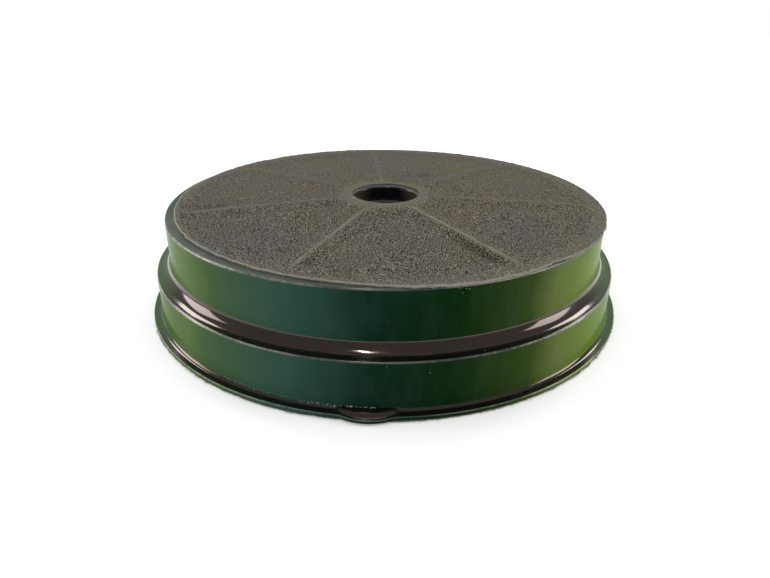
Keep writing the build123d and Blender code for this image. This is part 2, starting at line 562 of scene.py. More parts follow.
# The hub's recess: black at the back, brown where its sides face the lamps
DARK_RECESS = LedgePlastic(
    name="moulded_polypropylene_dark_recess", colour="#15171c", tint="#0b0c10", flank="#463c33",
    gleam="#ffffff", roughness=0.2, specular=0.3, flank_from_mm=7.0, flank_to_mm=15.0,
    patch_mm=5.0,
)

# The latch plate and the hub's rim: purple-grey with dust, the purple-grey a painted
# reflection, and brown on their sides as painted light
PLATE_DUST_AND_REFLECTION = LedgePlastic(
    name="moulded_polypropylene_plate_dust_and_reflection", colour="#5a5763", tint="#3d3b46", flank="#4a4339",
    gleam="#ffffff", roughness=0.3, specular=0.4, flank_from_mm=9.0, flank_to_mm=15.0,
    patch_mm=4.0, dust_share=0.3,
)


@dataclass(frozen=True)
class EdgeHighlightPlastic:
    """The moulding's outer corners, with a painted highlight along them."""

    name: str = "moulded_polypropylene_edge_highlight"
    pale: str = "#b9bba8"
    dull: str = "#38413b"
    roughness: float = 0.2
    specular: float = 0.35
    patch_mm: float = 24.0
    nick_mm: float = 1.6
    nick_share: float = 0.3
    highlight_levels: tuple[float, float] = (0.4, 0.62)
    front_half_mm: float = 15.0
    flank_from_mm: float = 70.0
    front_share: float = 0.15

    def material(self) -> Material:
        """Make the material.

        Returns:
            The node material.
        """
        # Corners with a painted highlight: a thin pale line that fades and comes back
        # along the rim, with small nicks in it. The painted highlight is weaker at the
        # front than on the two flanks.
        material, tree, place = start_material(self.name)
        patch, nick = (
            add_node(
                tree, "TexNoise", {"Vector": place, "Scale": per_metre(size), "Detail": detail}
            )
            for size, detail in ((self.patch_mm, 2.0), (self.nick_mm, 3.0))
        )
        both = add_node(tree, "Mix", {0: self.nick_share, 2: patch, 3: nick})
        across = add_node(tree, "SeparateXYZ", {0: place}, "X")
        aside = add_node(tree, "Math", {0: across}, operation="ABSOLUTE")
        limits = (self.front_half_mm * MM, self.flank_from_mm * MM)
        highlight_patches, flank = (
            add_node(tree, "MapRange", {"Value": value, **sockets(1, *levels, least, 1.0)})
            for value, levels, least in (
                (both, self.highlight_levels, 0.0), (aside, limits, self.front_share)
            )
        )
        # Painted highlight: pale in noise patches and nicks, weaker at the front than on the
        # flanks
        painted_highlight = add_node(tree, "Math", {0: highlight_patches, 1: flank}, operation="MULTIPLY")
        shades = {6: linear(self.dull), 7: linear(self.pale)}
        colour = add_node(tree, "Mix", {0: painted_highlight, **shades}, **MIX_COLOUR)
        end_material(tree, {
            "Base Color": colour, "Roughness": self.roughness, "IOR": POLYPROPYLENE_IOR,
            "Specular IOR Level": self.specular,
        })
        return material


@dataclass(frozen=True)
class NeedledFleece:
    """Needled polyester fleece, grey with the carbon dust and grains caught in it."""

    name: str = "needled_polyester_fleece"
    fibre: str = "#999485"
    middle: str = "#4c4942"
    grain: str = "#12110f"
    mat: str = "#605e53"
    weld: str = "#6b6c5f"
    cut: str = "#b3b0a4"
    warm: str = "#fff9ec"
    cool: str = "#f4f5ff"
    grain_mm: float = 0.55
    # Where the grain's noise is carbon, matted fibre and clean fibre
    grain_levels: tuple[float, float, float] = (0.41, 0.5, 0.61)
    fibre_mm: float = 0.3
    fibre_levels: tuple[float, float] = (0.35, 0.6)
    cloud_mm: float = 34.0
    cloud_levels: tuple[float, float] = (0.35, 0.65)
    weld_share: float = 0.85
    matted_from_mm: float = -30.0
    matted_to_mm: float = 80.0
    matted_share: float = 0.7
    cut_share: float = 0.35
    loose_bump: float = 0.8
    pressed_bump: float = 0.3
    bump_depth_mm: float = 0.35
    roughness: float = 0.92
    specular: float = 0.15

    def material(self) -> Material:
        """Make the material.

        Returns:
            The node material.
        """
        # Pale fibres over dark grains give a fine pepper-and-salt grain. Where the
        # welding tool pressed it, the felt is smoother and a little paler, and its cut
        # edge is palest. The felt's far half is more matted, so its grain is fainter.
        # Its dents are darkened towards the grains' colour by their depth: painted shade.
        material, tree, place = start_material(self.name)
        weld, pale, dent_shade = (
            add_node(tree, "Attribute", output="Fac", attribute_name=name)
            for name in ("weld", "pale", "dent_shade")
        )
        grain, cloud, fine = (
            add_node(tree, "TexNoise", {"Vector": place, "Scale": per_metre(size), **settings})
            for size, settings in (
                (self.grain_mm, {"Detail": 3.0, "Roughness": 0.6}),
                (self.cloud_mm, {"Detail": 3.0}), (self.fibre_mm, {"Detail": 2.0}),
            )
        )
        speckle = add_node(tree, "ValToRGB", {"Fac": grain})
        shades = (self.grain, self.middle, self.fibre)
        set_ramp(speckle, list(zip(self.grain_levels, shades)))
        back = add_node(tree, "SeparateXYZ", {0: place}, "Y")
        limits = (self.matted_from_mm * MM, self.matted_to_mm * MM)
        matted = coat(tree, speckle, self.mat, back, *limits, 0.0, self.matted_share)
        uneven = add_node(
            tree, "MapRange",
            {"Value": fine, **sockets(1, *self.fibre_levels, self.cut_share, 1.0)},
        )
        pressed_share, fringe = (
            add_node(tree, "Math", {0: first, 1: second}, operation="MULTIPLY")
            for first, second in ((weld, self.weld_share), (pale, uneven))
        )
        pressed = add_node(
            tree, "Mix", {0: pressed_share, 6: matted, 7: linear(self.weld)}, **MIX_COLOUR
        )
        frayed = add_node(
            tree, "Mix", {0: fringe, 6: pressed, 7: linear(self.cut)}, **MIX_COLOUR
        )
        tint = coat(tree, linear(self.warm), self.cool, cloud, *self.cloud_levels)
        clean = add_node(tree, "VectorMath", {0: frayed, 1: tint}, operation="MULTIPLY")
        # Painted shade: darker in the dents by their depth
        colour = add_node(tree, "Mix", {0: dent_shade, 6: clean, 7: linear(self.grain)}, **MIX_COLOUR)
        height = add_node(tree, "Math", {0: grain, 1: fine}, operation="ADD")
        press = add_node(
            tree, "MapRange",
            {"Value": weld, **sockets(1, 0.0, 1.0, self.loose_bump, self.pressed_bump)},
        )
        depth = self.bump_depth_mm * MM
        bump = add_node(tree, "Bump", {"Height": height, "Strength": press, "Distance": depth})
        end_material(tree, {
            "Base Color": colour, "Roughness": self.roughness, "Normal": bump,
            "Specular IOR Level": self.specular,
        })
        return material


@dataclass(frozen=True)
class CarbonGranules:
    """Activated coconut-shell carbon in broken grains."""

    name: str = "activated_carbon_granules"
    dark: str = "#0c0c0d"
    facet: str = "#2b2b2c"
    grain_mm: float = 2.4
    grain_depth_mm: float = 0.8
    roughness: float = 0.7
    specular: float = 0.3

    def material(self) -> Material:
        """Make the material.

        Returns:
            The node material.
        """
        # Broken grains about 2 to 3 mm across: dull black with a few grey facets.
        material, tree, place = start_material(self.name)
        cells = add_node(
            tree, "TexVoronoi", {"Vector": place, "Scale": per_metre(self.grain_mm)}
        ).node.outputs
        shade = add_node(tree, "SeparateColor", {"Color": cells["Color"]})
        colour = add_node(
            tree, "Mix", {0: shade, 6: linear(self.dark), 7: linear(self.facet)}, **MIX_COLOUR,
        )
        depth = self.grain_depth_mm * MM
        bump = add_node(
            tree, "Bump", {"Height": cells["Distance"], "Strength": 1.0, "Distance": depth},
            invert=True,
        )
        end_material(tree, {
            "Base Color": colour, "Roughness": self.roughness, "Normal": bump,
            "Specular IOR Level": self.specular,
        })
        return material


@dataclass(frozen=True)
class PaleFluff:
    """Polyester fibre ends and light dust, without carbon on them."""

    name: str = "loose_polyester_fluff"
    pale: str = "#c9c8bd"
    grey: str = "#8b897f"
    change_mm: float = 3.0
    change_levels: tuple[float, float] = (0.4, 0.6)
    roughness: float = 0.85
    specular: float = 0.2

    def material(self) -> Material:
        """Make the material.

        Returns:
            The node material.
        """
        # Clean fibre ends are off-white, and those that carbon dust sits on are grey.
        material, tree, place = start_material(self.name)
        change = add_node(
            tree, "TexNoise",
            {"Vector": place, "Scale": per_metre(self.change_mm), "Detail": 2.0},
        )
        colour = coat(tree, linear(self.grey), self.pale, change, *self.change_levels)
        end_material(tree, {
            "Base Color": colour, "Roughness": self.roughness,
            "Specular IOR Level": self.specular,
        })
        return material


@dataclass(frozen=True)
class StudioFloor:
    """Seamless white paper under and behind the object."""

    name: str = "white_paper"
    colour: str = "#e7e7e7"
    near_glow: float = 0.2
    far_glow: float = 0.75
    near: float = 0.115
    far: float = 1.6
    glow_power: float = 0.25

    def material(self) -> Material:
        """Make the material.

        Returns:
            The node material.
        """
        # Matt white paper. It glows a little for the camera and in reflections, more
        # so away from the lamps, so that it is evenly white there, and the object's
        # shadow still shows on it.
        material, tree, place = start_material(self.name)
        distance = add_node(tree, "VectorMath", {0: place}, "Value", operation="LENGTH")
        away = add_node(
            tree, "MapRange", {"Value": distance, **sockets(1, self.near, self.far)}
        )
        curve = add_node(tree, "Math", {0: away, 1: self.glow_power}, operation="POWER")
        level = add_node(
            tree, "MapRange", {"Value": curve, **sockets(3, self.near_glow, self.far_glow)},
        )
        rays = add_node(tree, "LightPath").node.outputs
        seen = add_node(
            tree, "Math", {0: rays["Is Camera Ray"], 1: rays["Is Glossy Ray"]}, operation="ADD",
        )
        any_ray = add_node(
            tree, "Math", {0: seen, 1: rays["Is Transmission Ray"]}, operation="ADD",
            use_clamp=True,
        )
        strength = add_node(tree, "Math", {0: any_ray, 1: level}, operation="MULTIPLY")
        matt = add_node(tree, "BsdfDiffuse", {"Color": linear(self.colour)})
        glow = add_node(tree, "Emission", {"Strength": strength})
        both = add_node(tree, "AddShader", {0: matt, 1: glow})
        add_node(tree, "OutputMaterial", {"Surface": both})
        return material


# The housing ------------------------------------------------------------------------------


@dataclass
class Spokes:
    """Where the housing's seven spokes stand, shared by the fleeces welded to them."""

    count: int = 7
    first_angle: float = 300.5
    top_thickness: float = 1.8
    foot_thickness: float = 1.2

    def angles(self) -> list[float]:
        """Return each spoke's angle in radians."""
        return [
            radians(self.first_angle + index * 360 / self.count) for index in range(self.count)
        ]

    def nearest(self, x: float, y: float) -> int:
        """Return the number of the spoke nearest to a place, the first being 0."""
        turn = degrees(atan2(y, x)) - self.first_angle
        return round(turn * self.count / 360) % self.count

    def offset(self, x: float, y: float) -> float:
        """Return the signed distance from the nearest spoke's middle plane.

        Args:
            x: Place along X in millimetres.
            y: Place along Y in millimetres.

        Returns:
            The distance in millimetres, positive on the anticlockwise side.
        """
        pitch = 2 * pi / self.count
        turn = atan2(y, x) - radians(self.first_angle)
        turn -= pitch * round(turn / pitch)
        return hypot(x, y) * sin(turn)


@dataclass
class Housing:
    """The moulded drum: stepped wall, lip, flange with its grip lug, hub and spokes."""

    flange_underside: float = 0.8
    flange_top: float = 2.5
    shoulder_height: float = 22.6
    lip_height: float = 47.4
    lip_underside: float = 45.4
    land_height: float = 48.4
    land_underside: float = 46.4
    recess_floor: float = 40.9
    plate_underside: float = 38.4

    upper_top_radius: float = 105.0
    upper_foot_radius: float = 105.3
    lower_top_radius: float = 112.0
    lower_foot_radius: float = 112.3
    flange_radius: float = 116.5
    wall_thickness: float = 2.0
    lip_inner_radius: float = 98.7

    crease_fillet: float = 2.0
    shoulder_round: float = 0.8
    step_fillet: float = 5.4
    step_inner_round: float = 3.0
    lip_round: float = 0.9
    flange_round: float = 0.5

    lug_angle: float = 267.0
    lug_half_width: float = 9.75
    lug_reach: float = 2.1
    lug_rise: float = 1.2
    lug_top_angle: float = 4.0

    socket_radius: float = 15.5
    collar_radius: float = 17.2
    hub_foot_radius: float = 18.4
    hub_top_radius: float = 18.9
    recess_radius: float = 16.0
    latch_radius: float = 12.0
    land_radius: float = 22.0
    recess_round: float = 1.2
    notch_half_width: float = 3.0
    notch_radius: float = 14.8

    wall_steps: int = 720
    hub_steps: int = 192
    # Steps from a notch's middle to its side, before they are drawn in to its width
    notch_steps: int = 7
    spokes: Spokes = field(default_factory=Spokes)

    def build(self) -> None:
        """Build the housing as one piece and dress it."""
        mesh = bmesh.new()
        self.add_wall(mesh)
        self.add_hub(mesh)
        for angle in self.spokes.angles():
            self.add_spoke(mesh, angle)
        self.pick_finishes(mesh)
        piece = finish_mesh(mesh, "housing_shell", ["housing"])
        finishes = {
            HousingFinish.WALL: WallPlastic(), HousingFinish.LEDGE: LedgePlastic(),
            HousingFinish.EDGE: EdgeHighlightPlastic(), HousingFinish.LIP: DUSTY_LIP,
            HousingFinish.RECESS: DARK_RECESS, HousingFinish.PLATE: PLATE_DUST_AND_REFLECTION,
        }
        for place in HousingFinish:
            piece.data.materials.append(finishes[place].material())

    def add_wall(self, mesh: BMesh) -> None:
        """Spin the stepped wall with its lip and flange.

        Args:
            mesh: The mesh that gets it.
        """
        inner = self.wall_thickness
        wall = bmesh.new()
        flange_points = [
            (mix(self.flange_radius, self.lower_foot_radius, share), self.flange_top, 0.0)
            for share in (0.16, 0.22, 0.28, 0.34, 0.4, 0.46)
        ]
        outline = draw_loop(
            wall,
            [
                (self.lower_foot_radius - inner, self.flange_underside, 0.0),
                (self.lower_foot_radius, self.flange_underside, 0.0),
                (self.flange_radius, self.flange_underside, 0.4),
                (self.flange_radius, self.flange_top, self.flange_round),
                *flange_points,
                (self.lower_foot_radius, self.flange_top, self.crease_fillet),
                (self.lower_top_radius, self.shoulder_height, self.shoulder_round),
                (self.upper_foot_radius, self.shoulder_height, self.step_fillet),
                (self.upper_top_radius, self.lip_height, self.lip_round),
                (self.lip_inner_radius, self.lip_height, 0.2),
                (self.lip_inner_radius, self.lip_underside, 0.0),
                (self.upper_top_radius - inner, self.lip_underside, 0.0),
                (
                    self.upper_foot_radius - inner, self.shoulder_height - inner,
                    self.step_inner_round,
                ),
                (self.lower_top_radius - inner, self.shoulder_height - inner, 0.0),
            ],
        )
        spin_full(wall, outline, self.wall_steps)
        for vert in wall.verts:
            self.shape_lug(vert)
        join_mesh(mesh, wall)

    def shape_lug(self, vert: BMVert) -> None:
        """Push the flange's edge out to the grip lug and raise the lug's dome.

        Args:
            vert: A vertex of the spun wall, which is moved.
        """
        x, y, z = vert.co
        radius = hypot(x, y)
        base = self.lower_foot_radius
        if z > self.flange_top + self.lug_rise + 0.2 or radius < base - 0.2:
            return
        turn = atan2(y, x) - radians(self.lug_angle)
        turn -= 2 * pi * round(turn / (2 * pi))
        if abs(turn) > 0.25:
            return
        chord = sqrt(self.flange_radius**2 - self.lug_half_width**2)
        rise = self.flange_radius + self.lug_reach - chord
        lug_radius = (self.lug_half_width**2 + rise**2) / (2 * rise)
        centre = self.flange_radius + self.lug_reach - lug_radius
        across = centre * sin(turn)
        if abs(across) < lug_radius:
            edge = centre * cos(turn) + sqrt(lug_radius**2 - across**2)
            outline = soft_max(self.flange_radius, edge, 0.5)
        else:
            outline = self.flange_radius
        share = clamp((radius - base) / (self.flange_radius - base))
        radius += (outline - self.flange_radius) * share
        angle = atan2(y, x)
        vert.co.x = radius * cos(angle)
        vert.co.y = radius * sin(angle)
        if z > self.flange_top - self.flange_round:
            inside = lug_radius - 0.3 - hypot(radius * cos(turn) - centre, radius * sin(turn))
            top = self.flange_top + self.lug_rise * smoothstep(0.0, 3.4, inside)
            if z < top:
                vert.co.z = mix(z, top, smoothstep(-0.3, 0.3, inside))

    def crease_height(self, radius: float, angle: float) -> float:
        """Return the height of the crease between the lower wall and the flange.

        Args:
            radius: Distance from the axis in millimetres.
            angle: Angle round the axis in degrees.

        Returns:
            The height in millimetres, on the lug's dome where that is higher.
        """
        across = self.lower_foot_radius + self.crease_fillet - radius
        drop = sqrt(self.crease_fillet**2 - across**2)
        height = self.flange_top + self.crease_fillet - drop
        if abs(angle - self.lug_angle) < self.lug_top_angle:
            height = max(height, self.flange_top + self.lug_rise)
        return height

    def add_hub(self, mesh: BMesh) -> None:
        """Spin the hub and cut the two notches in its latch plate.

        Args:
            mesh: The mesh that gets it.
        """
        hub = bmesh.new()
        outline = draw_loop(
            hub,
            [
                (self.socket_radius, 0.0, 0.4), (self.collar_radius, 0.0, 0.4),
                (self.collar_radius, self.flange_underside, 0.0),
                (self.hub_foot_radius, self.flange_underside, 0.0),
                (self.hub_top_radius, self.land_underside, 0.0),
                (self.land_radius, self.land_underside, 0.0),
                (self.land_radius, self.land_height, 0.4),
                (self.recess_radius, self.land_height, self.recess_round),
                (self.recess_radius, self.recess_floor, 0.0),
                (self.notch_radius, self.recess_floor, 0.0),
                (self.latch_radius, self.recess_floor, 0.0),
                (self.latch_radius, self.plate_underside, 0.0),
                (self.notch_radius, self.plate_underside, 0.0),
                (self.socket_radius, self.plate_underside, 0.0),
            ],
            segments=6,
        )
        spin_full(hub, outline, self.hub_steps)
        self.cut_notches(hub)
        bmesh.ops.recalc_face_normals(hub, faces=hub.faces)
        join_mesh(mesh, hub)

    def cut_notches(self, hub: BMesh) -> None:
        """Open the notches that let the hood's twist-lock lugs through.

        Args:
            hub: The spun hub, which is changed.
        """
        near, slack = 0.05, 0.01
        reach = self.notch_steps * 360 / self.hub_steps
        plate = (self.plate_underside - slack, self.recess_floor + slack)
        inner_angle = degrees(asin(self.notch_half_width / self.latch_radius))
        outer_angle = degrees(asin(self.notch_half_width / self.notch_radius))

        def turn_of(vert: BMVert) -> float:
            """Return the angle from the nearest notch's middle in degrees."""
            turn = degrees(atan2(vert.co.y, vert.co.x))
            return turn - 180 * round(turn / 180)

        for vert in hub.verts:
            radius = hypot(vert.co.x, vert.co.y)
            turn = turn_of(vert)
            if not plate[0] < vert.co.z < plate[1] or abs(turn) > reach + 0.5:
                continue
            if abs(radius - self.notch_radius) < near:
                wanted = turn * outer_angle / reach
            elif abs(radius - self.latch_radius) < near and abs(turn) > reach - 0.5:
                wanted = inner_angle if turn > 0 else -inner_angle
            else:
                continue
            angle = atan2(vert.co.y, vert.co.x) + radians(wanted - turn)
            vert.co.x, vert.co.y = radius * cos(angle), radius * sin(angle)

        def in_notch(centre: Vector) -> bool:
            """Tell whether a place is on the plate and inside a notch.

            Args:
                centre: A face's middle.

            Returns:
                True if the face is to be taken out.
            """
            return (
                plate[0] < centre.z < plate[1]
                and hypot(centre.x, centre.y) < self.notch_radius - near
                and abs(centre.y) < self.notch_half_width - near
            )

        doomed = [face for face in hub.faces if in_notch(face.calc_center_median())]
        bmesh.ops.delete(hub, geom=doomed, context="FACES")
        for side in (1, -1):
            level = [
                edge for edge in hub.edges if edge.is_boundary and edge.verts[0].co.x * side > 0
                and abs(edge.verts[0].co.z - edge.verts[1].co.z) < slack
            ]
            bmesh.ops.bridge_loops(hub, edges=level)

    def add_spoke(self, mesh: BMesh, angle: float) -> None:
        """Add one spoke, thinner at its foot, let into the wall and the hub.

        Args:
            mesh: The mesh that gets it.
            angle: The spoke's angle in radians.
        """
        overlap = 1.0
        wall = self.wall_thickness - overlap
        corners = [
            (self.hub_foot_radius - overlap, self.flange_underside),
            (self.lower_foot_radius - wall, self.flange_underside),
            (self.lower_top_radius - wall, self.shoulder_height - overlap),
            (self.upper_foot_radius - wall, self.shoulder_height - overlap),
            (self.upper_top_radius - wall, self.lip_underside + overlap),
            (self.lip_inner_radius, self.lip_underside + overlap),
            (self.lip_inner_radius, self.lip_height), (self.land_radius, self.land_height),
            (self.land_radius, self.land_underside + overlap),
            (self.hub_foot_radius - overlap, self.land_underside + overlap),
        ]
        verts = [mesh.verts.new((radius, 0.0, height)) for radius, height in corners]
        blank = mesh.faces.new(verts)
        grown = bmesh.ops.extrude_face_region(mesh, geom=[blank])
        far = [g for g in grown["geom"] if isinstance(g, BMVert)]
        for side, group in ((-1, verts), (1, far)):
            for vert in group:
                share = (vert.co.z - self.flange_underside) / self.land_height
                vert.co.y = side * mix(
                    self.spokes.foot_thickness / 2, self.spokes.top_thickness / 2, share
                )
        whole = verts + far
        faces = dict.fromkeys(face for vert in whole for face in vert.link_faces)
        bmesh.ops.recalc_face_normals(mesh, faces=list(faces))
        bmesh.ops.rotate(
            mesh, verts=whole, cent=(0, 0, 0), matrix=Matrix.Rotation(angle, 3, "Z")
        )

    def pick_finishes(self, mesh: BMesh) -> None:
        """Give each face the wall's, the ledge's, the painted edge highlight's or another
        finish.

        Args:
            mesh: The mesh whose faces get a material number.
        """
        for face in mesh.faces:
            centre = face.calc_center_median()
            face.material_index = self.finish_at(
                hypot(centre.x, centre.y), centre.z, face.normal.z
            ).value

    def finish_at(self, radius: float, height: float, rise: float) -> HousingFinish:
        """Choose a face's finish.

        Args:
            radius: The face's distance from the axis in millimetres.
            height: Its height in millimetres.
            rise: The upward part of its normal.

        Returns:
            The finish.
        """
        if 0.3 < rise < 0.93 and (
            radius > self.upper_top_radius - self.lip_round
            and height > self.lip_height - self.lip_round
            or radius > self.lower_top_radius - self.shoulder_round
            and abs(height - self.shoulder_height) < self.shoulder_round
            or radius > self.flange_radius - self.flange_round
            and self.flange_top - self.flange_round < height < self.flange_top + 0.05
        ):
            return HousingFinish.EDGE
        if radius < self.land_radius and height > self.recess_floor - 0.2:
            if height < self.recess_floor + 0.2:
                return HousingFinish.PLATE
            return HousingFinish.PLATE if rise > 0.7 else HousingFinish.RECESS
        if radius < self.hub_top_radius:
            return HousingFinish.LEDGE
        if radius > self.flange_radius - self.flange_round and height < self.flange_top:
            return HousingFinish.WALL
        if rise > 0.5 and height > self.lip_height - self.lip_round:
            return HousingFinish.LIP
        on_crease = height < self.flange_top + self.crease_fillet
        if rise > (0.5 if on_crease else 0.12) and radius > self.upper_top_radius:
            return HousingFinish.LEDGE
        return HousingFinish.WALL


# The fleeces ------------------------------------------------------------------------------


@dataclass(frozen=True)
class Dent:
    """A soft hollow in the fleece, or a swelling if its depth is below zero."""

    x: float
    y: float
    length: float
    width: float
    angle: float
    depth: float

    def sink(self, x: float, y: float) -> float:
        """Find how far the surface is sunk at a place.

        Args:
            x: Place along X in millimetres.
            y: Place along Y in millimetres.

        Returns:
            The depth in millimetres.
        """
        turn = radians(self.angle)
        along = (x - self.x) * cos(turn) + (y - self.y) * sin(turn)
        across = -(x - self.x) * sin(turn) + (y - self.y) * cos(turn)
        reach = (along / self.length) ** 2 + (across / self.width) ** 2
        return self.depth * smoothstep(1.0, 0.0, sqrt(reach))


@dataclass
class UpperFleece:
    """The fleece welded to the lip, the spokes and the hub, a little off centre."""

    housing: Housing
    weld_thickness: float = 0.8
    thickness: float = 2.0
    field_surface: float = 47.2
    weld_strip: float = 3.4
    weld_margin: float = 0.8
    weld_blend: float = 5.0
    thick_slope: tuple[float, float] = (-0.6, 4.0)
    field_slope: tuple[float, float] = (-0.6, 7.0)
    # Size in millimetres, distance and layer of each noise
    field_waves: tuple[tuple[float, float, float], ...] = ((0.35, 26.0, 0.0), (0.16, 9.0, 3.0))
    felt_waves: tuple[tuple[float, float, float], ...] = ((0.07, 2.2, 5.0), (0.05, 4.5, 6.0))
    hole_radius: float = 16.9
    hole_shift: tuple[float, float] = (0.5, 1.2)
    # Angle and radius of the hand-cut outline, which leaves the lip bare at the front left
    # and hangs over it at the back and at the front right
    outline: tuple[tuple[float, float], ...] = (
        (0, 105.3), (30, 105.5), (60, 105.5), (80, 105.7), (110, 104.9), (140, 103.4),
        (170, 101.5), (200, 100.6), (228, 100.6), (245, 101.0), (256, 102.0), (268, 103.2),
        (279, 104.6), (290, 105.4), (300, 105.0), (307, 103.9), (314, 104.9), (326, 105.6),
        (345, 105.4), (360, 105.3),
    )

    # How plainly each spoke shows through, from the first spoke round
    weld_marks: tuple[float, ...] = (1.0, 0.3, 0.1, 0.15, 0.1, 0.35, 0.75)
    crest_width: float = 1.0
    crest_height: float = 0.35
    hub_weld_slope: tuple[float, float] = (4.0, -3.0)
    lip_weld_slope: tuple[float, float] = (-1.5, 1.0)
    lip_weld_share: float = 0.55
    spoke_weld_slope: tuple[float, float] = (2.2, 0.6)
    cut_width: float = 0.8
    cut_fluff: float = 0.15
    rim_share: float = 0.05
    droop: float = 0.22
    # Size in millimetres, layer and count of each noise round the edges
    ripples: tuple[tuple[float, float, float], ...] = (
        (0.3, 1.0, 40), (0.25, 2.0, 160), (0.25, 3.0, 420),
    )
    hole_ripples: tuple[tuple[float, float, float], ...] = ((0.25, 4.0, 20), (0.2, 5.0, 90))
    fluff_ripples: tuple[tuple[float, float, float], ...] = ((0.2, 6.0, 300),)
    bright_cut_angle: float = radians(225.0)
    dent_shade_share: float = 0.3

    steps: int = 720
    upper_rings: int = 76
    edge_rings: int = 12
    edge_share: float = 0.97
    under_rings: int = 20
    dents: tuple[Dent, ...] = (
        Dent(37.5, -71.5, 27.0, 5.0, 300.5, 1.5), Dent(-29.0, -84.0, 16.0, 5.0, 249.1, 0.8),
        Dent(-84.0, -18.0, 14.0, 6.0, 200.0, 0.7), Dent(12.0, 45.0, 22.0, 3.5, 75.0, 0.5),
        Dent(21.0, 43.0, 9.0, 5.0, 30.0, 0.6), Dent(38.0, 13.0, 9.0, 5.0, 100.0, 0.6),
    )

    def build(self) -> None:
        """Build the fleece as one piece and dress it."""
        mesh = bmesh.new()
        self.lay_sheet(mesh)
        weld_layer = mesh.verts.layers.float.new("weld")
        pale_layer = mesh.verts.layers.float.new("pale")
        dent_shade_layer = mesh.verts.layers.float.new("dent_shade")
        for vert in mesh.verts:
            self.shape(vert, weld_layer, pale_layer)
            # The dents' depth, stored as painted shade for the felt
            vert[dent_shade_layer] = self.dent_shade_share * clamp(self.sink(vert.co.x, vert.co.y))
        bmesh.ops.recalc_face_normals(mesh, faces=mesh.faces)
        piece = finish_mesh(mesh, "top_fleece_felt", ["top_fleece"], 75.0)
        piece.data.materials.append(NeedledFleece().material())
        turns = [radians(degree) for degree in range(360)]
        area = sum(self.reach(turn) ** 2 / 2 for turn in turns) * radians(1)
        area -= pi * self.hole_radius**2

    def reach(self, angle: float) -> float:
        """Find the outline's radius.

        Args:
            angle: Angle in radians.

        Returns:
            The radius in millimetres.
        """
        turn = degrees(angle) % 360
        for (start, first), (end, second) in zip(self.outline, self.outline[1:]):
            if turn <= end:
                return mix(first, second, smoothstep(start, end, turn))
        return self.outline[0][1]

    def lay_sheet(self, mesh: BMesh) -> None:
        """Spin a flat ring, 1 in radius per mm of sheet, from 0 underneath to 1 on top.

        Args:
            mesh: The mesh that gets it.
        """
        low, high = self.hole_radius, self.housing.upper_top_radius
        shares = [
            self.edge_share * index / self.upper_rings for index in range(self.upper_rings)
        ] + [
            mix(self.edge_share, 1.0, index / self.edge_rings)
            for index in range(self.edge_rings + 1)
        ]
        under = [1 - index / self.under_rings for index in range(self.under_rings + 1)]
        loop = [(mix(low, high, share), 1.0) for share in shares]
        loop += [(high + 0.1, 0.75), (high + 0.12, 0.35)]
        loop += [(mix(low, high, share), 0.0) for share in under]
        loop += [(low - 0.1, 0.5)]
        outline = draw_loop(mesh, [(radius, height, 0.0) for radius, height in loop])
        spin_full(mesh, outline, self.steps)

    def weld_surface(self, radius: float) -> float:
        """Find the height of the welded fleece's top.

        Args:
            radius: Distance from the axis in millimetres.

        Returns:
            The height in millimetres.
        """
        housing = self.housing
        inner, outer = housing.land_radius, housing.lip_inner_radius
        share = clamp((radius - inner) / (outer - inner))
        return mix(housing.land_height, housing.lip_height, share) + self.weld_thickness

    def crest(self, x: float, y: float) -> float:
        """Find how far a place is on a spoke's raised weld line.

        Args:
            x: Place along X in millimetres.
            y: Place along Y in millimetres.

        Returns:
            The share, from 0 beside the line to about 1 on it.
        """
        housing, radius = self.housing, hypot(x, y)
        inner, outer = housing.land_radius, housing.lip_inner_radius
        line = smoothstep(self.crest_width, 0.2, abs(housing.spokes.offset(x, y)))
        line *= smoothstep(inner, inner + 6.0, radius)
        line *= smoothstep(outer, outer - 5.0, radius)
        line *= 0.75 + 0.35 * waves(x, y, 7.0, 8.0)
        return line * self.weld_marks[housing.spokes.nearest(x, y)]

    def top_height(self, x: float, y: float) -> float:
        """Find the height of the laid fleece's upper face.

        Args:
            x: Place along X in millimetres.
            y: Place along Y in millimetres.

        Returns:
            The height in millimetres.
        """
        in_field = smoothstep(*self.field_slope, self.inside_field(x, y))
        top = self.weld_surface(hypot(x, y))
        top -= (top - self.field_surface) * in_field
        top += in_field * swell(x, y, self.field_waves)
        top -= self.sink(x, y)
        top += swell(x, y, self.felt_waves)
        return top + self.crest_height * self.crest(x, y)

    def sink(self, x: float, y: float) -> float:
        """Return how far the dents sink the fleece at a place, in millimetres."""
        depth = sum(dent.sink(x, y) for dent in self.dents)
        return depth * smoothstep(0.0, 2.5, self.inside_field(x, y))

    def inside_field(self, x: float, y: float) -> float:
        """Find how far a place is inside a field.

        Args:
            x: Place along X in millimetres.
            y: Place along Y in millimetres.

        Returns:
            The distance from the weld in millimetres, below zero on the weld.
        """
        radius = hypot(x, y)
        from_spoke = abs(self.housing.spokes.offset(x, y)) - self.weld_strip / 2
        from_hub = radius - self.housing.land_radius - self.weld_margin
        from_lip = self.housing.lip_inner_radius - self.weld_margin - radius
        near = soft_min(from_spoke, from_hub, self.weld_blend)
        return soft_min(near, from_lip, self.weld_blend)

